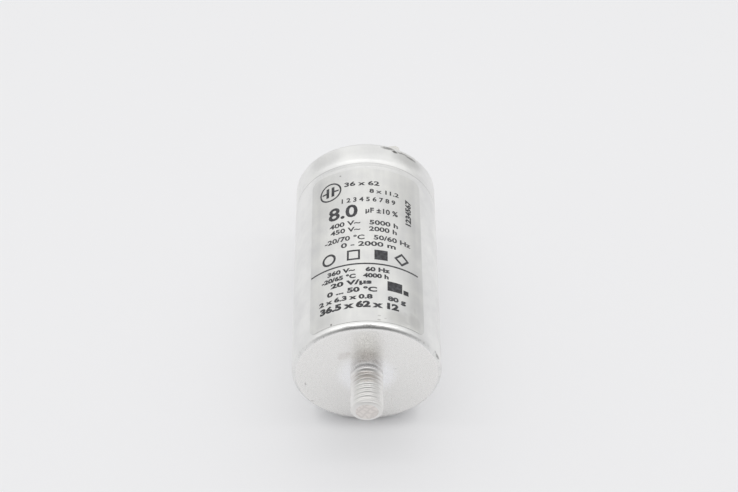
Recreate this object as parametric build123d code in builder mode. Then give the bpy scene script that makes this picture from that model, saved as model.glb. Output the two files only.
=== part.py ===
from build123d import *
from math import cos, degrees, radians, sin
import os

# Motor run capacitor lying on its side. Y is the axis of the can, Z is up.
# The mounting face is at y = 0, with the stud towards -Y and the terminals towards +Y.

# Can: an aluminium cup extruded from one slug, filled and closed
can_diameter = 36.5
can_length = 62.0
wall_thickness = 0.6
base_corner_radius = 1.4

# Stud of the same slug for an M8 nut; its plain size is the outer diameter of the thread
stud_diameter = 8.0
stud_length = 11.2
stud_chamfer = 0.8

# Bead rolled into the wall just below the lid
bead_width = 3.4
bead_depth = 0.5
bead_setback = 0.4

# Rim curled in over the gasket until its edge bites on the rubber
curl_radius = 1.1

# Rubber ring on the shoulder of the lid
gasket_height = 1.4
gasket_show = 0.5

# Moulded lid: edge under the gasket, raised centre, terminal pads and a barrier between them
lid_edge_thickness = 2.9
lid_clearance = 0.05
lid_rise = 0.3
lid_edge_round = 0.25
pad_height = 0.8
pad_margin = 0.8
pad_corner_radius = 1.0
barrier_thickness = 1.6
barrier_length = 21.0
barrier_height = 5.5
barrier_edge_round = 0.5
barrier_draft = 1.0

# Terminals: strip folded to a U, each blade a push-on tab of the 6.3 x 0.8 mm size
terminal_pitch = 13.0
terminal_turn = 82.0
tab_width = 6.3
tab_thickness = 0.8
tab_height = 12.4
tab_gap = 6.1
bend_radius = 0.5
tip_chamfer = 1.1
tip_bevel = 0.2
tab_hole_diameter = 1.8
tab_hole_to_tip = 4.1

# Rivets that clamp each terminal to the lid
rivet_head_diameter = 4.6
rivet_head_height = 0.9
rivet_head_round = 0.35
rivet_shank_diameter = 3.2
rivet_dimple_diameter = 2.0
rivet_dimple_depth = 1.2
rivet_clearance = 0.05

# Printed film stuck round the upper side
label_width = 30.8
label_margin = 0.4
label_thickness = 0.1
label_corner_radius = 2.0

# Levels along the axis, from the rim down
can_radius = can_diameter / 2
inner_radius = can_radius - wall_thickness
lip_radius = can_radius - 2 * curl_radius
gasket_top = can_length - curl_radius
lid_shoulder = gasket_top - gasket_height
lid_seat = lid_shoulder - lid_edge_thickness
lid_face = gasket_top + lid_rise
lid_radius = inner_radius - lid_clearance
lid_centre_radius = lip_radius - gasket_show
bead_top = lid_seat - bead_setback
bead_bottom = bead_top - bead_width
bead_centre = (bead_top + bead_bottom) / 2
bead_flank_radius = can_radius - bead_depth / 2
bead_flank_rise = bead_width / 4
label_start = base_corner_radius + label_margin
label_height = bead_bottom - label_margin - label_start

# Local X of this plane runs along the line of the two terminals
line_angle = radians(terminal_turn)
terminal_line = (sin(line_angle), 0, cos(line_angle))
face_plane = Plane(origin=(0, lid_face, 0), x_dir=terminal_line, z_dir=(0, 1, 0))
pad_plane = face_plane.offset(pad_height)
rivet_places = [(-terminal_pitch / 2, 0), (terminal_pitch / 2, 0)]
rivet_hole_radius = rivet_shank_diameter / 2 + rivet_clearance

os.makedirs("parts", exist_ok=True)

# Can, from the mounting face up the wall, over the bead and round the curl to the seat of the lid
with BuildPart() as can:
    with BuildSketch(Plane.XY):
        with BuildLine():
            Line((0, lid_seat), (0, 0))
            Line((0, 0), (can_radius - base_corner_radius, 0))
            TangentArc(
                (can_radius - base_corner_radius, 0),
                (can_radius, base_corner_radius),
                tangent=(1, 0),
            )
            Line((can_radius, base_corner_radius), (can_radius, bead_bottom))
            TangentArc(
                (can_radius, bead_bottom),
                (bead_flank_radius, bead_centre - bead_flank_rise),
                tangent=(0, 1),
            )
            ThreePointArc(
                (bead_flank_radius, bead_centre - bead_flank_rise),
                (can_radius - bead_depth, bead_centre),
                (bead_flank_radius, bead_centre + bead_flank_rise),
            )
            TangentArc(
                (can_radius, bead_top),
                (bead_flank_radius, bead_centre + bead_flank_rise),
                tangent=(0, -1),
            )
            Line((can_radius, bead_top), (can_radius, gasket_top))
            ThreePointArc(
                (can_radius, gasket_top),
                (can_radius - curl_radius, can_length),
                (lip_radius, gasket_top),
            )
            Line((lip_radius, gasket_top), (lip_radius + wall_thickness, gasket_top))
            ThreePointArc(
                (lip_radius + wall_thickness, gasket_top),
                (can_radius - curl_radius, can_length - wall_thickness),
                (inner_radius, gasket_top),
            )
            Line((inner_radius, gasket_top), (inner_radius, lid_seat))
            Line((inner_radius, lid_seat), (0, lid_seat))
        make_face()
    revolve(axis=Axis.Y)
    with BuildSketch(Plane.XZ):
        Circle(stud_diameter / 2)
    extrude(amount=stud_length)
    chamfer(can.edges().group_by(Axis.Y)[0], length=stud_chamfer)
can.part.label = "can"
export_step(can.part, "parts/can.step")

# Label, a thick sector with rounded corners, cut down to the film that lies on the can
label_angle = label_width / can_radius
label_edge_plane = Plane(
    origin=(0, 0, 0),
    x_dir=(0, 1, 0),
    z_dir=(cos(label_angle / 2), 0, sin(label_angle / 2)),
)
with BuildPart() as label:
    with BuildSketch(label_edge_plane):
        with Locations((label_start, can_radius)):
            Rectangle(label_height, 2 * label_corner_radius, align=(Align.MIN, Align.CENTER))
    revolve(axis=Axis.Y, revolution_arc=degrees(label_angle))
    corner_edges = label.edges().filter_by(GeomType.LINE).group_by(SortBy.LENGTH)[0]
    fillet(corner_edges, radius=label_corner_radius)
    with BuildSketch(Plane.YZ):
        with Locations((label_start, can_radius)):
            Rectangle(label_height, label_thickness, align=(Align.MIN, Align.MIN))
    revolve(axis=Axis.Y, mode=Mode.INTERSECT)
label.part.label = "label"
export_step(label.part, "parts/label.step")

# Lid, a stepped disc with a pad under each terminal and a barrier across the middle
with BuildPart() as lid:
    with BuildSketch(Plane.XY):
        with BuildLine():
            Polyline(
                (0, lid_seat),
                (lid_radius, lid_seat),
                (lid_radius, lid_shoulder),
                (lid_centre_radius, lid_shoulder),
                (lid_centre_radius, lid_face),
                (0, lid_face),
                close=True,
            )
        make_face()
    revolve(axis=Axis.Y)
    fillet(lid.faces().sort_by(Axis.Y)[-1].edges(), radius=lid_edge_round)
    with BuildSketch(face_plane):
        with Locations(rivet_places):
            RectangleRounded(
                tab_width + 2 * pad_margin,
                tab_gap + 2 * tab_thickness + 2 * pad_margin,
                radius=pad_corner_radius,
            )
    extrude(amount=pad_height)
    with BuildSketch(face_plane):
        Rectangle(barrier_thickness, barrier_length)
    extrude(amount=barrier_height, taper=barrier_draft)
    fillet(lid.faces().sort_by(Axis.Y)[-1].edges(), radius=barrier_edge_round)
    with BuildSketch(pad_plane):
        with Locations(rivet_places):
            Circle(rivet_hole_radius)
    extrude(amount=lid_seat - lid_face - pad_height, mode=Mode.SUBTRACT)
lid.part.label = "lid"
export_step(lid.part, "parts/lid.step")

# Gasket, held between the shoulder of the lid, the wall and the edge of the curl
with BuildPart() as gasket:
    with BuildSketch(face_plane.offset(lid_shoulder - lid_face)):
        Circle(inner_radius)
        Circle(lid_centre_radius, mode=Mode.SUBTRACT)
    extrude(amount=gasket_height)
gasket.part.label = "gasket"
export_step(gasket.part, "parts/gasket.step")

# Terminals, each a U of strip with a blade on either side of its rivet
for terminal_name, rivet_place in zip(("terminal_left", "terminal_right"), rivet_places):
    foot = pad_plane.from_local_coords(rivet_place)
    fold_plane = Plane(origin=foot, x_dir=pad_plane.y_dir, z_dir=pad_plane.x_dir)
    hole_height = tab_height - tab_hole_to_tip
    hole_plane = Plane(
        origin=fold_plane.from_local_coords((0, hole_height)),
        x_dir=pad_plane.x_dir,
        z_dir=pad_plane.y_dir,
    )
    half_gap = tab_gap / 2
    half_span = half_gap + tab_thickness
    with BuildPart() as terminal:
        with BuildSketch(fold_plane):
            with BuildLine():
                FilletPolyline(
                    (-half_span, tab_height),
                    (-half_span, 0),
                    (half_span, 0),
                    (half_span, tab_height),
                    radius=bend_radius + tab_thickness,
                )
                Line((half_span, tab_height), (half_gap, tab_height))
                FilletPolyline(
                    (half_gap, tab_height),
                    (half_gap, tab_thickness),
                    (-half_gap, tab_thickness),
                    (-half_gap, tab_height),
                    radius=bend_radius,
                )
                Line((-half_gap, tab_height), (-half_span, tab_height))
            make_face()
        extrude(amount=tab_width / 2, both=True)
        tip_edges = terminal.edges().group_by(Axis.Y)[-1]
        chamfer(tip_edges.filter_by(Axis((0, 0, 0), pad_plane.y_dir)), length=tip_chamfer)
        tip_edges = terminal.edges().group_by(Axis.Y)[-1]
        chamfer(tip_edges.filter_by(Axis((0, 0, 0), pad_plane.x_dir)), length=tip_bevel)
        with BuildSketch(hole_plane):
            Circle(tab_hole_diameter / 2)
        extrude(amount=half_span, both=True, mode=Mode.SUBTRACT)
        with BuildSketch(pad_plane):
            with Locations(rivet_place):
                Circle(rivet_hole_radius)
        extrude(amount=tab_thickness, mode=Mode.SUBTRACT)
    terminal.part.label = terminal_name
    export_step(terminal.part, f"parts/{terminal_name}.step")

# Rivets, with a round head on the terminal and a shank that ends flush with the lid's underside
head_plane = pad_plane.offset(tab_thickness)
with BuildPart() as rivets:
    with BuildSketch(head_plane):
        with Locations(rivet_places):
            Circle(rivet_head_diameter / 2)
    extrude(amount=rivet_head_height)
    fillet(rivets.edges().group_by(Axis.Y)[-1], radius=rivet_head_round)
    with BuildSketch(head_plane):
        with Locations(rivet_places):
            Circle(rivet_shank_diameter / 2)
    extrude(amount=lid_seat - lid_face - pad_height - tab_thickness)
    with BuildSketch(head_plane.offset(rivet_head_height)):
        with Locations(rivet_places):
            Circle(rivet_dimple_diameter / 2)
    extrude(amount=-rivet_dimple_depth, mode=Mode.SUBTRACT)
rivets.part.label = "rivets"
export_step(rivets.part, "parts/rivets.step")
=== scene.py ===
import math

import bmesh
import bpy
from mathutils import Matrix, Vector


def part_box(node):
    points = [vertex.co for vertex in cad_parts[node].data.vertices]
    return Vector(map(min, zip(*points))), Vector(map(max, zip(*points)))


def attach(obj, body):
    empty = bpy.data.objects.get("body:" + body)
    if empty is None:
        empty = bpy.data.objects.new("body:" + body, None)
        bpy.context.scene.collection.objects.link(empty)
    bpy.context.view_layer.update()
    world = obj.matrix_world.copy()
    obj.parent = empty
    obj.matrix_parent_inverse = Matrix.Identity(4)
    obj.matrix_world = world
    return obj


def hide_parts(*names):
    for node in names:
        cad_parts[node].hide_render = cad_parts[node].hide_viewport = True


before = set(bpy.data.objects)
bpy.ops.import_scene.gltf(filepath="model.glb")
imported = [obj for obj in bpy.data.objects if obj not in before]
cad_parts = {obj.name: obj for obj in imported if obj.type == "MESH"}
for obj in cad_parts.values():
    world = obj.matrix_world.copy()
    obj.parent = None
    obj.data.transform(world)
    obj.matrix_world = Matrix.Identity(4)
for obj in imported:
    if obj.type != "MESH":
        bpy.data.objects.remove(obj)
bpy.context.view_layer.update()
canLow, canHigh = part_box("can")
labelLow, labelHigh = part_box("label")
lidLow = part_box("lid")[0]
# lengths are in millimetres, and times mm where Blender takes them
mm = 0.001
inset = 0.01  # of the can's skin inside the solid
weld = 0.0004  # points closer than this become one
sharpAngle = 40  # degrees, an edge past this stays sharp
waveBands = 20 / (2 * math.pi)  # of the wave texture to a unit at scale 1
markEdge = {"size": 0.7, "detail": 3.0, "coreShare": 0.25}  # ragged edge of every mark of dirt
maths = "ShaderNodeMath"
vectorMaths = "ShaderNodeVectorMath"
mapRange = "ShaderNodeMapRange"
noise = "ShaderNodeTexNoise"


def toLinear(hexColour):
    # sRGB hex to the linear values that a shader takes
    parts = [int(hexColour[i:i + 2], 16) / 255 for i in (1, 3, 5)]
    return [p / 12.92 if p <= 0.04045 else ((p + 0.055) / 1.055) ** 2.4 for p in parts] + [1.0]


def perMm(size):
    # texture scale that gives features of this many millimetres
    return 1 / (size * mm)


def addNode(tree, kind, inputs=(), stops=(), **settings):
    # inputs by name or in order, each a value, a node or a node's output; stops are those of a colour ramp
    node = tree.nodes.new(kind)
    for key, value in settings.items():
        setattr(node, key, value)
    if stops:
        for element, (place, colour) in zip(node.color_ramp.elements, stops):
            element.position = place
            element.color = toLinear(colour)
    pairs = inputs.items() if isinstance(inputs, dict) else enumerate(inputs)
    for key, value in pairs:
        if isinstance(value, bpy.types.Node):
            value = value.outputs[0]
        if isinstance(value, bpy.types.NodeSocket):
            tree.links.new(value, node.inputs[key])
        else:
            node.inputs[key].default_value = value
    return node


def startMaterial(name, **sockets):
    material = bpy.data.materials.new(name)
    material.use_nodes = True
    tree = material.node_tree
    shader = tree.nodes["Principled BSDF"]
    for key, value in sockets.items():
        shader.inputs[key].default_value = value
    place = addNode(tree, "ShaderNodeTexCoord").outputs["Object"]
    return material, tree, shader, place


def startTree(name, numbers, counts=()):
    # besides its numbers and counts, every tree takes a geometry and a material
    tree = bpy.data.node_groups.new(name, "GeometryNodeTree")
    kinds = {"Geometry": "NodeSocketGeometry", **dict.fromkeys(counts, "NodeSocketInt"),
             **dict.fromkeys(numbers, "NodeSocketFloat"), "Material": "NodeSocketMaterial"}
    for key, kind in kinds.items():
        tree.interface.new_socket(name=key, in_out="INPUT", socket_type=kind)
    tree.interface.new_socket(name="Geometry", in_out="OUTPUT", socket_type="NodeSocketGeometry")
    return tree, addNode(tree, "NodeGroupInput").outputs


def endTree(tree, given, geometry):
    real = addNode(tree, "GeometryNodeRealizeInstances", {"Geometry": geometry})
    painted = addNode(tree, "GeometryNodeSetMaterial", {"Geometry": real, "Material": given["Material"]})
    addNode(tree, "NodeGroupOutput", {"Geometry": painted})


def runTree(tree, startMesh, values, name):
    # the nodes' result as a plain mesh on a new object
    piece = bpy.data.objects.new(name, startMesh)
    bpy.context.scene.collection.objects.link(piece)
    modifier = piece.modifiers.new(tree.name, "NODES")
    modifier.node_group = tree
    for item in tree.interface.items_tree:
        if item.name in values:
            modifier[item.identifier] = values[item.name]
    bpy.context.view_layer.update()
    evaluated = piece.evaluated_get(bpy.context.evaluated_depsgraph_get())
    result = bpy.data.meshes.new_from_object(evaluated)
    piece.modifiers.remove(modifier)
    piece.data = result
    bpy.data.meshes.remove(startMesh)
    return piece


def finishPiece(piece, node=None):
    # closes seams, turns faces outwards, rounds the shading and puts the piece on its body
    work = bmesh.new()
    work.from_mesh(piece.data)
    bmesh.ops.remove_doubles(work, verts=work.verts, dist=weld * mm)
    bmesh.ops.recalc_face_normals(work, faces=work.faces)
    for face in work.faces:
        face.smooth = True
    work.to_mesh(piece.data)
    work.free()
    piece.data.set_sharp_from_angle(angle=math.radians(sharpAngle))
    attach(piece, "root")
    if node:
        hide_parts(node)
    print("piece", piece.name, len(piece.data.polygons), "faces")


def addSkinPlace(tree, place):
    # place on the unrolled wall: arc length from the top line, height up the can
    at = addNode(tree, "ShaderNodeSeparateXYZ", [place]).outputs
    angle = addNode(tree, maths, [at["X"], at["Z"]], operation="ARCTAN2")
    arc = addNode(tree, maths, [angle, can["radius"] * mm], operation="MULTIPLY")
    return addNode(tree, "ShaderNodeCombineXYZ", {"X": arc, "Y": at["Y"]})


def addMarks(tree, where, marks, ragged):
    # darkness of small marks with an uneven edge: across, up, half width, half height, depth
    uneven = addNode(tree, noise,
                     {"Vector": where, "Scale": perMm(markEdge["size"]), "Detail": markEdge["detail"]})
    shifted = addNode(tree, vectorMaths, [uneven.outputs["Color"], [ragged * mm] * 3, where],
                      operation="MULTIPLY_ADD")
    total = None
    for across, up, wide, high, depth in marks:
        middle = ((across + ragged / 2) * mm, (up + ragged / 2) * mm, 0)
        away = addNode(tree, vectorMaths, [shifted, middle], operation="SUBTRACT")
        oval = addNode(tree, vectorMaths, [away, (perMm(wide), perMm(high), 0)], operation="MULTIPLY")
        reach = addNode(tree, vectorMaths, [oval], operation="LENGTH").outputs["Value"]
        spot = addNode(tree, mapRange, [reach, markEdge["coreShare"], 1.0, depth, 0.0],
                       interpolation_type="SMOOTHSTEP")
        total = addNode(tree, maths, [total, spot], operation="MAXIMUM") if total else spot
    return total


# Impact-extruded aluminium, left as it came off the press: a pale satin with faint lines along the
# draw, soft cloudy patches, a sawn end on the stud, and the specks, scuffs and grime of handling
# some colour here is painted light: a reflection round the stud, shade in the thread, on collar, rim and
# corner
aluminium = {
    "tones": [(0.35, "#E5E5E4"), (0.65, "#F2F2F0")], "pressed": "#F3F2F0", "studReflection": "#FCFCFD",
    "sawn": "#EBE6E2", "grimeAndShade": "#37332F", "stain": "#7A5C48",
    "cloudSize": 9, "lineWidth": 0.35, "lineLength": 40, "grit": 0.25, "scuffSize": 0.6,
    "sawCuts": [(38, 1.4), (-47, 2.3)], "sawWander": 8.0, "sawEdge": 0.35, "sawGrime": 0.14,
    "studReflectionReach": (5.0, 8.5), "edge": 0.02, "faceEdge": 0.1, "tipBlend": 0.18,
    "cornerReach": (0.08, 0.76), "scuffRange": (0.52, 0.75), "scuffGrime": 0.3,
    "beadReach": 0.16, "beadDarkLine": 0.22, "grooveShade": 0.08, "crestEdge": 0.1,
    "grooveStain": 0.22, "stainFrom": 2.5, "stainTo": 6.0, "markRagged": 0.9, "stainRagged": 1.4,
    "dullness": 0.18, "lineDull": 0.16, "wallDull": 0.07, "dirtDull": 0.25, "studDull": 0.11,
    "tipDull": 0.22, "lineBump": 0.6, "bump": 0.1, "bumpDepth": 0.02,
    # the first two wall marks are a nick by the base; the next three, on the base corner, are painted shade
    # with some grime; the rest are painted shade under the bead, on the collar and by the rim at the
    # terminal
    "wallMarksAndShade": [(22.3, 0.75, 1.9, 0.38, 0.55), (20.7, 1.0, 0.7, 0.35, 0.35), (-4.6, 0.62, 2.2, 0.26, 0.3),
                  (0.4, 0.66, 2.6, 0.3, 0.5), (4.2, 0.6, 1.8, 0.26, 0.25), (0.0, 52.75, 17.0, 0.75, 0.1),
                  (0.0, 59.3, 20.0, 2.6, 0.06), (5.8, 60.7, 2.6, 0.7, 0.6), (7.7, 60.1, 1.1, 0.75, 0.85),
                  (10.0, 60.4, 2.8, 0.5, 0.6), (12.6, 60.1, 2.8, 0.55, 0.65),
                  (-10.5, 58.9, 7.5, 3.2, 0.12), (11.5, 59.0, 7.0, 3.2, 0.24)],
    "faceMarks": [(-15.0, -3.5, 0.3, 0.9, 0.4), (-13.4, -10.3, 0.7, 0.3, 0.3), (6.8, 2.4, 0.9, 0.25, 0.12)],
    "faceStains": [(-5.6, 7.4, 2.0, 2.0, 0.13), (-4.6, 8.1, 1.1, 1.1, 0.17), (-6.4, 6.5, 1.1, 0.9, 0.15)],
    "studStains": [(0.0, -3.2, 3.2, 2.6, 0.2), (0.0, -2.0, 3.4, 1.0, 0.26)]}


def heightBands():
    # lowest and highest place of every stretch of the can that has a finish of its own, in millimetres
    look, end = aluminium, -can["studLength"]
    beadMiddle = can["beadStart"] + can["beadWidth"] / 2
    return {"end": (end - look["faceEdge"], end + look["edge"]),
            "tip": (end + look["edge"], end + can["tipHeight"] + look["tipBlend"]),
            "thread": (end + can["tipHeight"] + look["edge"], -look["edge"]),
            "stud": (end - look["faceEdge"], -look["faceEdge"]),
            "face": (-look["faceEdge"], look["faceEdge"]), "corner": look["cornerReach"],
            "wall": (look["faceEdge"], can["length"] + look["faceEdge"]),
            "bead": (beadMiddle - look["beadReach"], beadMiddle + look["beadReach"])}


def addSawLines(tree, place):
    # grime in the lines that two strokes of the saw left on the end of the stud
    total = None
    for turn, pitch in aluminium["sawCuts"]:
        laid = addNode(tree, "ShaderNodeMapping",
                       {"Vector": place, "Rotation": (0.0, math.radians(turn), 0.0)})
        wave = addNode(tree, "ShaderNodeTexWave",
                       {"Vector": laid, "Scale": perMm(pitch) / waveBands,
                        "Distortion": aluminium["sawWander"], "Detail": 2.0, "Detail Scale": 1.2},
                       bands_direction="X").outputs["Fac"]
        line = addNode(tree, mapRange,
                       [wave, 0.0, aluminium["sawEdge"], aluminium["sawGrime"], 0.0])
        total = addNode(tree, maths, [total, line], operation="MAXIMUM") if total else line
    return total


def makeAluminium():
    look = aluminium
    material, tree, shader, place = startMaterial("extrudedAluminium", Metallic=1.0)
    at = addNode(tree, "ShaderNodeSeparateXYZ", [place]).outputs
    height = at["Y"]
    facePlace = addNode(tree, "ShaderNodeCombineXYZ", {"X": at["X"], "Y": at["Z"]})
    studPlace = addNode(tree, "ShaderNodeCombineXYZ", {"X": at["X"], "Y": height})
    fromAxis = addNode(tree, vectorMaths, [facePlace], operation="LENGTH").outputs["Value"]
    on = {}
    for name, (low, high) in heightBands().items():
        on[name] = addNode(tree, maths, [height, (low + high) / 2 * mm, (high - low) / 2 * mm],
                           operation="COMPARE")
    offStud = addNode(tree, maths, [1.0, on["stud"]], operation="SUBTRACT")

    clouds = addNode(tree, noise,
                     {"Vector": place, "Scale": perMm(look["cloudSize"]), "Detail": 4.0, "Roughness": 0.6})
    drawn = addNode(tree, "ShaderNodeMapping",
                    {"Vector": place, "Scale": (1.0, look["lineWidth"] / look["lineLength"], 1.0)})
    lines = addNode(tree, noise,
                    {"Vector": drawn, "Scale": perMm(look["lineWidth"]), "Detail": 3.0, "Roughness": 0.55})
    grit = addNode(tree, noise, {"Vector": place, "Scale": perMm(look["grit"]), "Detail": 2.0})
    scuffs = addNode(tree, noise,
                     {"Vector": place, "Scale": perMm(look["scuffSize"]), "Detail": 4.0, "Roughness": 0.7})

    # bare metal: clouded wall, even face, a sawn end, and a brighter ring round the stud: painted
    # reflection
    wall = addNode(tree, "ShaderNodeValToRGB", {"Fac": clouds}, look["tones"])
    # the ring is a painted reflection of the stud's bright flanks on the face
    near, far = look["studReflectionReach"]
    ring = addNode(tree, mapRange, [fromAxis, near * mm, far * mm, 1.0, 0.0],
                   interpolation_type="SMOOTHSTEP")
    onStudReflection = addNode(tree, maths, [ring, on["face"]], operation="MULTIPLY")
    pressed = addNode(tree, "ShaderNodeMix", {0: on["wall"], 6: toLinear(look["pressed"]), 7: wall},
                      data_type="RGBA").outputs[2]
    withStudReflection = addNode(tree, "ShaderNodeMix", {0: onStudReflection, 6: pressed, 7: toLinear(look["studReflection"])},
                     data_type="RGBA").outputs[2]
    bare = addNode(tree, "ShaderNodeMix", {0: on["end"], 6: withStudReflection, 7: toLinear(look["sawn"])},
                   data_type="RGBA").outputs[2]

    # grime in the saw lines, the scuffs of the corner, the face marks and the nick; a darker line in the
    # bead
    # painted shade: most wall marks, and the darkening in the thread grooves
    root = can["studRadius"] - can["threadDepth"]
    deep = addNode(tree, mapRange,
                   [fromAxis, root * mm, (can["studRadius"] - look["crestEdge"]) * mm, 1.0, 0.0],
                   interpolation_type="SMOOTHSTEP")
    # painted shade in the thread grooves, darkest at their roots
    grooveShading = addNode(tree, maths, [deep, look["grooveShade"]], operation="MULTIPLY")
    worn = addNode(tree, mapRange, [scuffs, *look["scuffRange"], 0.0, look["scuffGrime"]])
    wallMarksAndShade = addMarks(tree, addSkinPlace(tree, place), look["wallMarksAndShade"], look["markRagged"])
    faceMarks = addMarks(tree, facePlace, look["faceMarks"], look["markRagged"])
    dirtAndShade = None
    for name, depth in (("wall", wallMarksAndShade), ("face", faceMarks), ("end", addSawLines(tree, place)),
                        ("bead", look["beadDarkLine"]), ("thread", grooveShading), ("corner", worn)):
        part = addNode(tree, maths, [on[name], depth], operation="MULTIPLY")
        dirtAndShade = addNode(tree, maths, [dirtAndShade, part], operation="MAXIMUM") if dirtAndShade else part
    dirtiedAndShaded = addNode(tree, "ShaderNodeMix", {0: dirtAndShade, 6: bare, 7: toLinear(look["grimeAndShade"])},
                    data_type="RGBA").outputs[2]

    # brown stains beside the stud and over its first turns, darker in the grooves
    byFoot = addNode(tree, mapRange,
                     [height, -look["stainTo"] * mm, -look["stainFrom"] * mm, 0.0, look["grooveStain"]],
                     interpolation_type="SMOOTHSTEP")
    footStain = addNode(tree, maths, [deep, byFoot], operation="MULTIPLY")
    topStain = addMarks(tree, studPlace, look["studStains"], look["markRagged"])
    turnStain = addNode(tree, maths, [footStain, topStain], operation="MAXIMUM")
    threadStain = addNode(tree, maths, [turnStain, on["thread"]], operation="MULTIPLY")
    faceStains = addMarks(tree, facePlace, look["faceStains"], look["stainRagged"])
    faceStain = addNode(tree, maths, [on["face"], faceStains], operation="MULTIPLY")
    stains = addNode(tree, maths, [faceStain, threadStain], operation="MAXIMUM")
    stained = addNode(tree, "ShaderNodeMix", {0: stains, 6: dirtiedAndShaded, 7: toLinear(look["stain"])},
                      data_type="RGBA").outputs[2]
    tree.links.new(stained, shader.inputs["Base Color"])

    # the mounting face is pressed brighter than the drawn wall and the rolled stud
    dull = addNode(tree, maths, [lines, look["lineDull"], look["dullness"]], operation="MULTIPLY_ADD")
    for where, more in ((on["wall"], look["wallDull"]), (dirtAndShade, look["dirtDull"]),
                        (on["stud"], look["studDull"]), (on["tip"], look["tipDull"])):
        dull = addNode(tree, maths, [where, more, dull], operation="MULTIPLY_ADD")
    tree.links.new(dull.outputs[0], shader.inputs["Roughness"])
    rough = addNode(tree, maths, [lines, look["lineBump"], grit], operation="MULTIPLY_ADD")
    drawnRough = addNode(tree, maths, [rough, offStud], operation="MULTIPLY")
    bump = addNode(tree, "ShaderNodeBump",
                   {"Strength": look["bump"], "Distance": look["bumpDepth"] * mm, "Height": drawnRough})
    tree.links.new(bump.outputs[0], shader.inputs["Normal"])
    return material


# Can: one revolved skin from the tip of the stud to the seat of the lid, with the thread cut by the nodes
can = {"radius": canHigh.x / mm - inset, "length": 62.0, "seat": lidLow.y / mm, "wall": 0.6,
       "baseRound": 1.4, "beadStart": 53.1, "beadWidth": 3.4, "beadDepth": 0.3, "curl": 1.1,
       "studRadius": 4.0, "studLength": -canLow.y / mm, "tipRadius": 2.6, "tipHeight": 0.9,
       "pitch": 1.25, "threadDepth": 0.72, "threadTurn": 0.7, "runOut": 0.5,
       "crestShare": 0.06, "rootShare": 0.94, "ringMiddle": 0.75, "ringWidth": 1.7, "ringShare": 0.8,
       "wornFrom": 4.0, "wornTo": 5.6, "wornShare": 0.47,
       "segments": 192, "ringsPerTurn": 24, "cornerSteps": 12, "wallSteps": 8, "beadSteps": 32,
       "curlSteps": 24, "lipSteps": 8,
       "endShares": (0.0, 0.4, 0.75, 0.93), "faceShares": (0.0, 0.04, 0.2, 0.5, 0.8, 0.97)}


def canProfile():
    # radius and height of every ring, in millimetres
    rings = [(can["tipRadius"] * share, -can["studLength"]) for share in can["endShares"]]
    steps = round(can["studLength"] / can["pitch"] * can["ringsPerTurn"])
    rings += [(can["studRadius"], -can["studLength"] * (1 - i / steps)) for i in range(steps)]
    ringWave = (1 - math.cos(2 * math.pi * can["ringMiddle"] / can["ringWidth"])) / 2
    neck = can["studRadius"] - can["threadDepth"] * can["ringShare"] * ringWave
    flat = can["radius"] - can["baseRound"]
    rings += [(neck + (flat - neck) * share, 0) for share in can["faceShares"]]
    for i in range(can["cornerSteps"] + 1):
        angle = math.pi / 2 * i / can["cornerSteps"]
        rings.append((flat + can["baseRound"] * math.sin(angle), can["baseRound"] * (1 - math.cos(angle))))
    climb = can["beadStart"] - can["baseRound"]
    for i in range(1, can["wallSteps"]):
        rings.append((can["radius"], can["baseRound"] + climb * i / can["wallSteps"]))
    for i in range(can["beadSteps"] + 1):
        dip = can["beadDepth"] * (1 - math.cos(2 * math.pi * i / can["beadSteps"])) / 2
        rings.append((can["radius"] - dip, can["beadStart"] + can["beadWidth"] * i / can["beadSteps"]))
    middle, top = can["radius"] - can["curl"], can["length"] - can["curl"]
    rings.append((can["radius"], (can["beadStart"] + can["beadWidth"] + top) / 2))
    for i in range(can["curlSteps"] + 1):
        angle = math.pi * i / can["curlSteps"]
        rings.append((middle + can["curl"] * math.cos(angle), top + can["curl"] * math.sin(angle)))
    inside = can["curl"] - can["wall"]
    for i in range(can["lipSteps"] + 1):
        angle = math.pi * i / can["lipSteps"]
        rings.append((middle - inside * math.cos(angle), top + inside * math.sin(angle)))
    return rings + [(middle + inside, can["seat"]), (can["radius"] / 2, can["seat"]), (0, can["seat"])]


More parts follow.
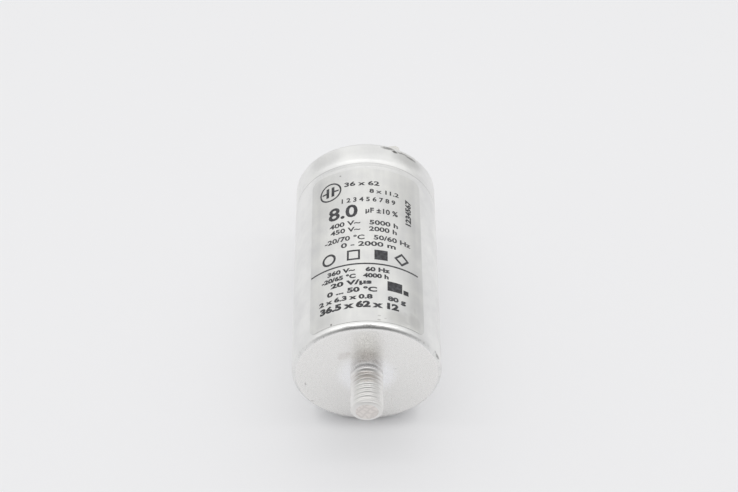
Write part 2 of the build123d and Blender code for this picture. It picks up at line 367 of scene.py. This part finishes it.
def makeCanTree():
    tree, given = startTree(
        "turnedCan",
        ["Pitch", "Thread Radius", "Thread Depth", "Thread Turn", "Crest Share", "Root Share", "Run Out",
         "Ring Middle", "Ring Width", "Ring Share", "Worn From", "Worn To", "Worn Share",
         "Tip Radius", "Tip Height", "Stud Length"], ["Rings", "Segments"])
    # a grid with one row for each ring of the outline, which is then rolled up
    lastRing = addNode(tree, maths, [given["Rings"], 1], operation="SUBTRACT")
    columns = addNode(tree, maths, [given["Segments"], 1], operation="ADD")
    grid = addNode(tree, "GeometryNodeMeshGrid",
                   {"Size X": lastRing, "Size Y": 1.0, "Vertices X": given["Rings"], "Vertices Y": columns})
    place = addNode(tree, "GeometryNodeInputPosition")
    at = addNode(tree, "ShaderNodeSeparateXYZ", [place]).outputs
    row = addNode(tree, maths, [lastRing, 0.5, at["X"]], operation="MULTIPLY_ADD")
    ring = addNode(tree, "FunctionNodeFloatToInt", [row], rounding_mode="ROUND")
    sample = addNode(tree, "GeometryNodeSampleIndex",
                     {"Geometry": given["Geometry"], "Value": place, "Index": ring},
                     data_type="FLOAT_VECTOR", domain="POINT")
    outline = addNode(tree, "ShaderNodeSeparateXYZ", [sample]).outputs
    radius, height = outline["X"], outline["Y"]
    turn = addNode(tree, maths, [at["Y"], 0.5], operation="ADD")
    # right-handed thread: the crest climbs along +Y as the angle goes from +Z to +X
    turns = addNode(tree, maths, [height, given["Pitch"]], operation="DIVIDE")
    climb = addNode(tree, maths, [turns, turn], operation="SUBTRACT")
    started = addNode(tree, maths, [climb, given["Thread Turn"]], operation="ADD")
    phase = addNode(tree, maths, [started], operation="FRACT")
    centred = addNode(tree, maths, [phase, 2, -1], operation="MULTIPLY_ADD")
    fromCrest = addNode(tree, maths, [centred], operation="ABSOLUTE")
    threadGroove = addNode(tree, mapRange,
                           [fromCrest, given["Crest Share"], given["Root Share"], 0.0, 1.0],
                           interpolation_type="SMOOTHSTEP")
    # a plain ring stands at the foot, and the thread starts in the groove past it
    out = addNode(tree, maths, [height, -1], operation="MULTIPLY")
    pastRing = addNode(tree, maths, [out, given["Ring Middle"]], operation="SUBTRACT")
    ringTurns = addNode(tree, maths, [pastRing, given["Ring Width"]], operation="DIVIDE")
    ringAngle = addNode(tree, maths, [ringTurns, 2 * math.pi], operation="MULTIPLY")
    ringCosine = addNode(tree, maths, [ringAngle], operation="COSINE")
    ringWave = addNode(tree, maths, [ringCosine, -0.5, 0.5], operation="MULTIPLY_ADD")
    ringGroove = addNode(tree, maths, [ringWave, given["Ring Share"]], operation="MULTIPLY")
    start = addNode(tree, maths, [given["Ring Width"], 0.5, given["Ring Middle"]], operation="MULTIPLY_ADD")
    full = addNode(tree, maths, [start, given["Run Out"]], operation="ADD")
    fade = addNode(tree, mapRange, [out, start, full, 0.0, 1.0], interpolation_type="SMOOTHSTEP")
    groove = addNode(tree, "ShaderNodeMix", {0: fade, 2: ringGroove, 3: threadGroove}, data_type="FLOAT")
    # nuts have worn the outer turns down
    worn = addNode(tree, mapRange,
                   [out, given["Worn From"], given["Worn To"], 1.0, given["Worn Share"]],
                   interpolation_type="SMOOTHSTEP")
    wornGroove = addNode(tree, maths, [groove, worn], operation="MULTIPLY")
    cut = addNode(tree, maths, [given["Thread Depth"], wornGroove], operation="MULTIPLY")
    threadRadius = addNode(tree, maths, [given["Thread Radius"], cut], operation="SUBTRACT")
    # the tip swells out in a quarter ellipse from its flat end to the full radius
    fromEnd = addNode(tree, maths, [height, given["Stud Length"]], operation="ADD")
    tipShare = addNode(tree, maths, [fromEnd, given["Tip Height"]], operation="DIVIDE")
    inwards = addNode(tree, maths, [1, tipShare], operation="SUBTRACT")
    onTip = addNode(tree, maths, [inwards, 0], operation="MAXIMUM")
    squared = addNode(tree, maths, [onTip, 2], operation="POWER")
    rest = addNode(tree, maths, [1, squared], operation="SUBTRACT")
    swell = addNode(tree, maths, [rest], operation="SQRT")
    crown = addNode(tree, maths, [given["Thread Radius"], given["Tip Radius"]], operation="SUBTRACT")
    tipRadius = addNode(tree, maths, [swell, crown, given["Tip Radius"]], operation="MULTIPLY_ADD")
    cutRadius = addNode(tree, maths, [radius, threadRadius], operation="MINIMUM")
    studRadius = addNode(tree, maths, [cutRadius, tipRadius], operation="MINIMUM")
    onStud = addNode(tree, maths, [height, -weld * mm], operation="LESS_THAN")
    skin = addNode(tree, "ShaderNodeMix", {0: onStud, 2: radius, 3: studRadius}, data_type="FLOAT")
    # rolled up round the Y axis
    angle = addNode(tree, maths, [turn, 2 * math.pi], operation="MULTIPLY")
    sine = addNode(tree, maths, [angle], operation="SINE")
    cosine = addNode(tree, maths, [angle], operation="COSINE")
    x = addNode(tree, maths, [skin, sine], operation="MULTIPLY")
    z = addNode(tree, maths, [skin, cosine], operation="MULTIPLY")
    spot = addNode(tree, "ShaderNodeCombineXYZ", [x, height, z])
    rolled = addNode(tree, "GeometryNodeSetPosition", {"Geometry": grid, "Position": spot})
    closed = addNode(tree, "GeometryNodeMergeByDistance", {"Geometry": rolled, "Distance": weld * mm})
    endTree(tree, given, closed)
    return tree


def makeCan():
    rings = canProfile()
    outline = bpy.data.meshes.new("canOutline")
    outline.from_pydata([(r * mm, y * mm, 0) for r, y in rings],
                        [(i, i + 1) for i in range(len(rings) - 1)], [])
    values = {"Rings": len(rings), "Segments": can["segments"], "Thread Radius": can["studRadius"] * mm,
              "Thread Turn": can["threadTurn"], "Crest Share": can["crestShare"],
              "Root Share": can["rootShare"], "Ring Share": can["ringShare"],
              "Worn Share": can["wornShare"], "Material": makeAluminium()}
    for name, key in (("Pitch", "pitch"), ("Thread Depth", "threadDepth"), ("Run Out", "runOut"),
                      ("Ring Middle", "ringMiddle"), ("Ring Width", "ringWidth"), ("Worn From", "wornFrom"),
                      ("Worn To", "wornTo"), ("Tip Radius", "tipRadius"), ("Tip Height", "tipHeight"),
                      ("Stud Length", "studLength")):
        values[name] = can[key] * mm
    piece = runTree(makeCanTree(), outline, values, "can_skin")
    finishPiece(piece, "can")


# Label film and its print lie flat first, and the nodes wrap them round the can
label = {"width": 30.8, "start": labelLow.y / mm, "height": (labelHigh.y - labelLow.y) / mm, "corner": 2.0,
         "film": 0.085, "inkFloor": 0.075, "inkTop": 0.1, "tilt": -0.5, "cutStep": 0.6,
         "columns": 56, "cornerSteps": 8, "rows": 20}
# silvered polyester film, matt on top: it blurs what it mirrors and shows a slight ripple
film = {"tones": [(0.3, "#D8D8D7"), (0.7, "#E5E5E2")], "dirtAndShade": "#4A463F", "metal": 0.85,
        "ripple": 6, "grain": 0.3, "streak": 1.6, "streakShare": 0.04, "streakTone": 0.5,
        "dullness": 0.27, "grainDull": 0.12, "bump": 0.12, "bumpDepth": 0.03, "markRagged": 0.5,
        # and the broad ones high up on both sides only make the film darker there
        # the specks and the brownish patches low on the right are dirt; the long faint patches on the right
        # edge
        "marks": [(-8.8, 2.3, 0.35, 0.5, 0.8), (2.9, 3.6, 0.6, 0.3, 0.3), (4.4, 2.9, 0.5, 0.3, 0.3),
                  (9.9, 3.2, 1.8, 0.7, 0.2), (11.4, 6.0, 1.2, 1.8, 0.14), (13.8, 11.0, 5.0, 15.0, 0.11),
                  (13.6, 33.0, 4.0, 14.0, 0.06), (7.5, 4.0, 4.5, 3.5, 0.22), (12.2, 4.6, 3.6, 3.6, 0.2),
                  (-9.5, 3.8, 5.5, 3.5, 0.09), (-10.0, 45.0, 7.5, 12.0, 0.1), (8.5, 44.0, 6.5, 12.0, 0.09),
                  (-6.7, 50.9, 0.4, 0.35, 0.6), (5.2, 6.5, 0.9, 0.5, 0.22), (9.5, 5.6, 1.6, 1.2, 0.14),
                  (12.4, 8.1, 0.8, 2.0, 0.16), (2.9, 2.3, 0.6, 0.3, 0.4)]}
# black screen ink, dry and matt, thinner in places so the film shows through as grey
ink = {"tones": [(0.4, "#2E2E30"), (0.75, "#55565A")], "patch": 0.8, "roughness": 0.6}
# each row: words, height up the can, from and to in degrees round it, height and weight of a figure
printRows = [
    ("36 x 62", 47.3, -18, 10, 1.45, 0.03), ("8 x 11.2", 44.6, 2, 26, 1.35, 0.03),
    ("1 2 3 4 5 6 7 8 9", 41.7, -20, 23, 1.5, 0.03),
    ("8.0", 38.0, -31, -7, 4.2, 0.025), ("µF ±10 %", 37.9, -1, 25, 1.7, 0.03),
    ("400 V~   5000 h", 33.8, -30, 25, 1.5, 0.03), ("450 V~   2000 h", 31.6, -29, 24, 1.5, 0.03),
    ("-20/70 °C   50/60 Hz", 28.8, -34, 36, 1.5, 0.03), ("0 - 2000 m", 26.6, -20, 23, 1.5, 0.03),
    ("360 V~    60 Hz", 18.2, -31, 18, 1.3, 0.05), ("-20/65 °C   4000 h", 16.2, -36, 17, 1.3, 0.05),
    ("20 V/µs", 14.2, -28, 4, 1.4, 0.05), ("0 ... 50 °C", 11.8, -31, 8, 1.45, 0.05),
    ("2 x 6.3 x 0.8     80 g", 9.5, -38, 31, 1.35, 0.05), ("36.5 x 62 x 12", 7.1, -37, 25, 1.8, 0.06)]
printColumn = {"words": "1234567", "turn": 34.4, "up": 35.6, "long": 8.6, "tall": 1.6, "weight": 0.045}
figures = {"height": 0.73, "curveSteps": 3}  # of the built-in font at size 1
# drawing sign for a capacitor: two plates and two leads in a ring
printSign = {"turn": -30, "up": 46.0, "radius": 3.1, "line": 0.45, "plateFrom": 0.75, "plateLine": 0.8,
             "plateHigh": 3.2, "lead": 1.6, "leadLine": 0.5, "corners": 48}
# each ring: degrees round the can, height up it, outer and inner radius, corners, degrees to the first one
printRings = [(-30, 23.0, 1.9, 1.3, 48, 0), (-10, 23.0, 2.3, 1.6, 4, 45), (28, 23.0, 2.1, 1.3, 4, 0)]
# each block: from and to in degrees round the can, from and to in height; the first is the rule
printBlocks = [(-47.3, 43, 19.75, 20.2), (6, 16.3095, 21.4, 24.6), (16, 28, 11.9, 14.9),
               (29, 33.5, 11.9, 13.3)]


def makeFilm():
    material, tree, shader, place = startMaterial("silveredPolyesterFilm", Metallic=film["metal"])
    ripple = addNode(tree, noise, {"Vector": place, "Scale": perMm(film["ripple"]), "Detail": 2.0})
    grain = addNode(tree, noise, {"Vector": place, "Scale": perMm(film["grain"]), "Detail": 2.0})
    rolled = addNode(tree, "ShaderNodeMapping", {"Vector": place, "Scale": (1.0, film["streakShare"], 1.0)})
    streaks = addNode(tree, noise,
                      {"Vector": rolled, "Scale": perMm(film["streak"]), "Detail": 2.0})
    tone = addNode(tree, maths, [streaks, film["streakTone"], -film["streakTone"] / 2],
                   operation="MULTIPLY_ADD")
    toned = addNode(tree, maths, [ripple, tone], operation="ADD")
    tint = addNode(tree, "ShaderNodeValToRGB", {"Fac": toned}, film["tones"])
    marks = addMarks(tree, addSkinPlace(tree, place), film["marks"], film["markRagged"])
    dirtiedAndShaded = addNode(tree, "ShaderNodeMix", {0: marks, 6: tint, 7: toLinear(film["dirtAndShade"])},
                    data_type="RGBA").outputs[2]
    tree.links.new(dirtiedAndShaded, shader.inputs["Base Color"])
    dull = addNode(tree, maths, [grain, film["grainDull"], film["dullness"]], operation="MULTIPLY_ADD")
    tree.links.new(dull.outputs[0], shader.inputs["Roughness"])
    bump = addNode(tree, "ShaderNodeBump",
                   {"Strength": film["bump"], "Distance": film["bumpDepth"] * mm, "Height": ripple})
    tree.links.new(bump.outputs[0], shader.inputs["Normal"])
    return material


def makeInk():
    material, tree, shader, place = startMaterial("blackScreenInk", Roughness=ink["roughness"])
    worn = addNode(tree, noise, {"Vector": place, "Scale": perMm(ink["patch"]), "Detail": 4.0})
    tint = addNode(tree, "ShaderNodeValToRGB", {"Fac": worn}, ink["tones"])
    tree.links.new(tint.outputs[0], shader.inputs["Base Color"])
    return material


def makeWrapTree():
    tree, given = startTree("wrapOnCan", ["Radius", "Tilt", "Tilt Centre"])
    place = addNode(tree, "GeometryNodeInputPosition")
    centre = addNode(tree, "ShaderNodeCombineXYZ", {"Y": given["Tilt Centre"]})
    tilted = addNode(tree, "ShaderNodeVectorRotate",
                     {"Vector": place, "Center": centre, "Angle": given["Tilt"]}, rotation_type="Z_AXIS")
    flat = addNode(tree, "ShaderNodeSeparateXYZ", [tilted]).outputs
    angle = addNode(tree, maths, [flat["X"], given["Radius"]], operation="DIVIDE")
    out = addNode(tree, maths, [flat["Z"], given["Radius"]], operation="ADD")
    sine = addNode(tree, maths, [angle], operation="SINE")
    cosine = addNode(tree, maths, [angle], operation="COSINE")
    x = addNode(tree, maths, [out, sine], operation="MULTIPLY")
    z = addNode(tree, maths, [out, cosine], operation="MULTIPLY")
    spot = addNode(tree, "ShaderNodeCombineXYZ", [x, flat["Y"], z])
    moved = addNode(tree, "GeometryNodeSetPosition", {"Geometry": given["Geometry"], "Position": spot})
    endTree(tree, given, moved)
    return tree


def thicken(work, high):
    # flat faces become a closed slab up to this height
    made = bmesh.ops.extrude_face_region(work, geom=work.faces[:], use_keep_orig=True)
    for item in made["geom"]:
        if isinstance(item, bmesh.types.BMVert):
            item.co.z = high


def toMesh(work, name):
    mesh = bpy.data.meshes.new(name)
    work.to_mesh(mesh)
    work.free()
    return mesh


def flatFilm():
    # rounded corners come from rows that narrow towards both ends
    work = bmesh.new()
    half, corner, across = label["width"] / 2, label["corner"], label["columns"]
    steps, count = label["cornerSteps"], label["rows"]
    ends = [corner * (1 - math.cos(math.pi / 2 * i / steps)) for i in range(steps + 1)]
    heights = ends + [corner + (label["height"] - 2 * corner) * i / count for i in range(1, count)]
    heights += [label["height"] - end for end in reversed(ends)]
    rows = []
    for height in heights:
        near = min(height, label["height"] - height, corner)
        wide = half - corner + math.sqrt(max(0, corner ** 2 - (corner - near) ** 2))
        rows.append([work.verts.new((wide * (2 * i / across - 1) * mm, (label["start"] + height) * mm, 0))
                     for i in range(across + 1)])
    for low, high in zip(rows, rows[1:]):
        for i in range(across):
            work.faces.new((low[i], low[i + 1], high[i + 1], high[i]))
    thicken(work, label["film"] * mm)
    return toMesh(work, "filmFlat")


def addWords(work, words, left, up, long, tall, weight, turn=0.0):
    # one row of figures, this long and tall, its middle at this height up the can, in millimetres
    data = bpy.data.curves.new("row", "FONT")
    data.body = words
    data.size = 1.0
    data.offset = weight
    data.resolution_u = figures["curveSteps"]
    holder = bpy.data.objects.new("row", data)
    bpy.context.scene.collection.objects.link(holder)
    bpy.context.view_layer.update()
    flat = bpy.data.meshes.new_from_object(holder.evaluated_get(bpy.context.evaluated_depsgraph_get()))
    bpy.data.objects.remove(holder)
    bpy.data.curves.remove(data)
    xs = [v.co.x for v in flat.vertices]
    size = Matrix.Diagonal((long / (max(xs) - min(xs)) * mm, tall / figures["height"] * mm, 1, 1))
    place = Matrix.Translation((left * mm, up * mm, 0)) @ Matrix.Rotation(math.radians(turn), 4, "Z")
    flat.transform(size @ Matrix.Translation((-min(xs), -figures["height"] / 2, 0)))
    flat.transform(place)
    work.from_mesh(flat)
    bpy.data.meshes.remove(flat)


def addShape(work, outer, inner=None):
    # a filled outline, or a band between two outlines of as many points, in millimetres
    rim = [work.verts.new((x * mm, y * mm, 0)) for x, y in outer]
    if inner is None:
        work.faces.new(rim)
        return
    hole = [work.verts.new((x * mm, y * mm, 0)) for x, y in inner]
    for i in range(len(rim)):
        j = (i + 1) % len(rim)
        work.faces.new((rim[i], rim[j], hole[j], hole[i]))


def polygon(x, y, size, corners, start):
    angles = [math.radians(start) + 2 * math.pi * i / corners for i in range(corners)]
    return [(x + size * math.cos(angle), y + size * math.sin(angle)) for angle in angles]


def block(x0, x1, y0, y1):
    return [(x0, y0), (x1, y0), (x1, y1), (x0, y1)]


def addSign(work, sign, arc):
    x, y = sign["turn"] * arc, sign["up"]
    addShape(work, polygon(x, y, sign["radius"], sign["corners"], 0),
             polygon(x, y, sign["radius"] - sign["line"], sign["corners"], 0))
    thick, high, line = sign["plateLine"] / 2, sign["plateHigh"] / 2, sign["leadLine"] / 2
    for side in (-1, 1):
        plate = x + side * sign["plateFrom"]
        leadEnds = sorted((plate, plate + side * sign["lead"]))
        addShape(work, block(plate - thick, plate + thick, y - high, y + high))
        addShape(work, block(*leadEnds, y - line, y + line))


def flatPrint():
    arc = math.radians(1) * (can["radius"] + label["inkTop"])
    work = bmesh.new()
    for words, up, start, end, tall, weight in printRows:
        addWords(work, words, start * arc, up, (end - start) * arc, tall, weight)
    column = printColumn
    addWords(work, column["words"], column["turn"] * arc, column["up"], column["long"], column["tall"],
             column["weight"], 90.0)
    addSign(work, printSign, arc)
    for turn, up, outer, inner, corners, first in printRings:
        addShape(work, polygon(turn * arc, up, outer, corners, first),
                 polygon(turn * arc, up, inner, corners, first))
    for start, end, low, high in printBlocks:
        addShape(work, block(start * arc, end * arc, low, high))
    # cuts across each shape let it bend with the can
    for i in range(int(label["width"] / label["cutStep"]) + 1):
        x = i * label["cutStep"] - label["width"] / 2
        bmesh.ops.bisect_plane(work, geom=work.verts[:] + work.edges[:] + work.faces[:], dist=1e-9,
                               plane_co=(x * mm, 0, 0), plane_no=(1, 0, 0))
    for vert in work.verts:
        vert.co.z = label["inkFloor"] * mm
    thicken(work, label["inkTop"] * mm)
    return toMesh(work, "printFlat")


def makeLabel():
    tree = makeWrapTree()
    values = {"Radius": can["radius"] * mm, "Tilt": 0.0, "Material": makeFilm(),
              "Tilt Centre": (label["start"] + label["height"] / 2) * mm}
    finishPiece(runTree(tree, flatFilm(), values, "label_film"), "label")
    values["Tilt"] = math.radians(label["tilt"])
    values["Material"] = makeInk()
    finishPiece(runTree(tree, flatPrint(), values, "label_print"))


# brass strip stamped and dip tinned: greyish white, softly bright, with a drawn grain
tin = {"tones": [(0.3, "#CFCEC9"), (0.7, "#E6E5E1")], "grain": 0.2, "grainShare": 0.06,
       "dullness": 0.22, "grainDull": 0.2}
# moulded polyester, off white: an even half gloss with the faint grain of the mould
lidPlastic = {"tones": [(0.3, "#D2CFC4"), (0.7, "#DCD9D0")], "cloud": 5, "grain": 0.35, "roughness": 0.45,
              "bump": 0.15, "bumpDepth": 0.02}
# black EPDM ring, pressed: dull, with a dusty bloom
rubber = {"tones": [(0.4, "#1E1E1F"), (0.8, "#38383A")], "bloom": 1.2, "roughness": 0.75}


def makeTin():
    material, tree, shader, place = startMaterial("tinnedBrass", Metallic=1.0)
    grain = addNode(tree, "ShaderNodeMapping", {"Vector": place, "Scale": (1.0, tin["grainShare"], 1.0)})
    lines = addNode(tree, noise, {"Vector": grain, "Scale": perMm(tin["grain"]), "Detail": 3.0})
    tint = addNode(tree, "ShaderNodeValToRGB", {"Fac": lines}, tin["tones"])
    tree.links.new(tint.outputs[0], shader.inputs["Base Color"])
    dull = addNode(tree, maths, [lines, tin["grainDull"], tin["dullness"]], operation="MULTIPLY_ADD")
    tree.links.new(dull.outputs[0], shader.inputs["Roughness"])
    return material


def makeLidPlastic():
    material, tree, shader, place = startMaterial("mouldedPolyester", Roughness=lidPlastic["roughness"])
    cloud = addNode(tree, noise, {"Vector": place, "Scale": perMm(lidPlastic["cloud"]), "Detail": 3.0})
    grain = addNode(tree, noise, {"Vector": place, "Scale": perMm(lidPlastic["grain"]), "Detail": 2.0})
    tint = addNode(tree, "ShaderNodeValToRGB", {"Fac": cloud}, lidPlastic["tones"])
    tree.links.new(tint.outputs[0], shader.inputs["Base Color"])
    bump = addNode(tree, "ShaderNodeBump",
                   {"Strength": lidPlastic["bump"], "Distance": lidPlastic["bumpDepth"] * mm,
                    "Height": grain})
    tree.links.new(bump.outputs[0], shader.inputs["Normal"])
    return material


def makeRubber():
    material, tree, shader, place = startMaterial("epdmRubber", Roughness=rubber["roughness"])
    bloom = addNode(tree, noise,
                    {"Vector": place, "Scale": perMm(rubber["bloom"]), "Detail": 5.0})
    tint = addNode(tree, "ShaderNodeValToRGB", {"Fac": bloom}, rubber["tones"])
    tree.links.new(tint.outputs[0], shader.inputs["Base Color"])
    return material


def dressFarEnd():
    # the CAD pieces of the far end keep their own shape
    tinned, plastic, ring = makeTin(), makeLidPlastic(), makeRubber()
    for name, material in (("terminal_left", tinned), ("terminal_right", tinned), ("rivets", tinned),
                           ("lid", plastic), ("gasket", ring)):
        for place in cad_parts[name].material_slots:
            place.link = "OBJECT"
            place.material = material
        print("dressed", name)


# Studio: white paper floor, pale walls all round and one long tube overhead
studio = {"paper": [(0.0, "#F0F0F2"), (1.0, "#F2F2F4")], "fibre": 120, "floorRough": 0.95,
          "floorSize": 3000, "floorSides": 96, "floorDepth": canHigh.x / mm, "paintedShadowReach": 4.5,
          "paintedShadowPower": 2.0, "paintedGlow": 0.88, "glowTint": (0.995, 0.995, 1.0, 1.0), "glowShare": 0.42,
          "fill": 0.80, "fillLean": 0.75, "surround": 1.02, "horizon": 0.74, "wallFrom": 0.05,
          "wallTo": 0.6, "sideFade": -0.06, "darkTowards": (0.0, -0.88, 0.475),
          "darkFrom": 0.80, "darkTo": 0.97,
          "dark": [{"narrow": 0.75, "left": 0.3}, {"narrow": 0.18, "left": 0.5}],
          "white": (1.0, 1.0, 1.0, 1.0)}
tube = {"power": 1.15, "long": 1300, "deep": 50, "place": (0, 40, 750)}
camera = {"lens": 88.5, "sensor": 36.0, "near": 10, "place": (-3.157, -273.791, 346.543),
          "turn": (42.3796, -0.326, -0.3589)}


def makePaper():
    # white paper: no shine at all, with a tone that hardly changes
    material, tree, shader, place = startMaterial("whitePaper", Roughness=studio["floorRough"])
    fibre = addNode(tree, noise, {"Vector": place, "Scale": perMm(studio["fibre"]), "Detail": 2.0})
    tint = addNode(tree, "ShaderNodeValToRGB", {"Fac": fibre}, studio["paper"])
    tree.links.new(tint.outputs[0], shader.inputs["Base Color"])
    # the paper glows a little when seen straight on or in metal: painted light that keeps wide shadows
    # light
    ray = addNode(tree, "ShaderNodeLightPath").outputs
    seen = addNode(tree, maths, [ray["Is Camera Ray"], ray["Is Glossy Ray"]], operation="MAXIMUM")
    allSeen = addNode(tree, maths, [seen, ray["Is Transmission Ray"]], operation="MAXIMUM")
    # ambient occlusion takes the glow away close under the can, a painted contact shadow
    above = addNode(tree, "ShaderNodeAmbientOcclusion", {"Distance": studio["paintedShadowReach"] * mm}, samples=8)
    clear = addNode(tree, maths, [above.outputs["AO"], studio["paintedShadowPower"]], operation="POWER")
    lit = addNode(tree, maths, [allSeen, clear], operation="MULTIPLY")
    share = addNode(tree, maths, [lit, studio["glowShare"]], operation="MULTIPLY")
    paintedGlow = addNode(tree, "ShaderNodeEmission", {"Strength": studio["paintedGlow"], "Color": studio["glowTint"]})
    both = addNode(tree, "ShaderNodeMixShader", [share, shader, paintedGlow])
    tree.links.new(both.outputs[0], tree.nodes["Material Output"].inputs["Surface"])
    return material


def makeFloor():
    work = bmesh.new()
    bmesh.ops.create_circle(work, cap_ends=True, segments=studio["floorSides"],
                            radius=studio["floorSize"] * mm)
    bmesh.ops.translate(work, verts=work.verts, vec=(0, 0, -studio["floorDepth"] * mm))
    floor = bpy.data.objects.new("floor", toMesh(work, "floor"))
    bpy.context.scene.collection.objects.link(floor)
    floor.data.materials.append(makePaper())


def makeWorld():
    world = bpy.data.worlds.new("studio")
    world.use_nodes = True
    bpy.context.scene.world = world
    tree = world.node_tree
    tree.nodes.clear()
    ray = addNode(tree, "ShaderNodeLightPath").outputs
    towards = addNode(tree, "ShaderNodeTexCoord").outputs["Generated"]
    across = addNode(tree, "ShaderNodeSeparateXYZ", [towards]).outputs
    wall = addNode(tree, mapRange,
                   [across["Z"], studio["wallFrom"], studio["wallTo"], studio["horizon"],
                    studio["surround"]], interpolation_type="SMOOTHSTEP")
    level = addNode(tree, maths, [across["X"], studio["sideFade"], wall], operation="MULTIPLY_ADD")
    # the dark side of the room in front, which the metal mirrors: a deep core in a wide faint one
    for part in studio["dark"]:
        narrow = addNode(tree, vectorMaths, [towards, (part["narrow"], 1.0, 1.0)], operation="MULTIPLY")
        unit = addNode(tree, vectorMaths, [narrow], operation="NORMALIZE")
        facing = addNode(tree, vectorMaths, [unit, studio["darkTowards"]], operation="DOT_PRODUCT")
        left = addNode(tree, mapRange,
                       [facing.outputs["Value"], studio["darkFrom"], studio["darkTo"], 1.0, part["left"]],
                       interpolation_type="SMOOTHSTEP")
        level = addNode(tree, maths, [level, left], operation="MULTIPLY")
    # light on the paper comes a little more from behind than from the front
    leaning = addNode(tree, maths, [across["Y"], studio["fill"] * studio["fillLean"], studio["fill"]],
                      operation="MULTIPLY_ADD")
    mirrored, plain, fill = [
        addNode(tree, "ShaderNodeBackground", {"Color": studio["white"], "Strength": strength})
        for strength in (level, studio["surround"], leaning)]
    glossy = addNode(tree, maths, [ray["Is Glossy Ray"], ray["Is Transmission Ray"]], operation="MAXIMUM")
    indirect = addNode(tree, "ShaderNodeMixShader", [glossy, fill, mirrored])
    seen = addNode(tree, "ShaderNodeMixShader", [ray["Is Camera Ray"], indirect, plain])
    addNode(tree, "ShaderNodeOutputWorld", {"Surface": seen})


def addTube():
    data = bpy.data.lights.new("tube", "AREA")
    data.shape = "RECTANGLE"
    data.size = tube["long"] * mm
    data.size_y = tube["deep"] * mm
    data.energy = tube["power"]
    lamp = bpy.data.objects.new("tube", data)
    bpy.context.scene.collection.objects.link(lamp)
    # it shines at the origin
    lamp.location = Vector(tube["place"]) * mm
    lamp.rotation_euler = (-lamp.location).to_track_quat("-Z", "Y").to_euler()


def addCamera():
    data = bpy.data.cameras.new("camera")
    data.lens = camera["lens"]
    data.sensor_width = camera["sensor"]
    data.sensor_fit = "HORIZONTAL"
    data.clip_start = camera["near"] * mm
    holder = bpy.data.objects.new("camera", data)
    bpy.context.scene.collection.objects.link(holder)
    holder.location = Vector(camera["place"]) * mm
    holder.rotation_euler = [math.radians(angle) for angle in camera["turn"]]
    bpy.context.scene.camera = holder


makeCan()
makeLabel()
dressFarEnd()
makeFloor()
makeWorld()
addTube()
addCamera()
bpy.context.scene.view_settings.view_transform = "Standard"
print("studio ready")
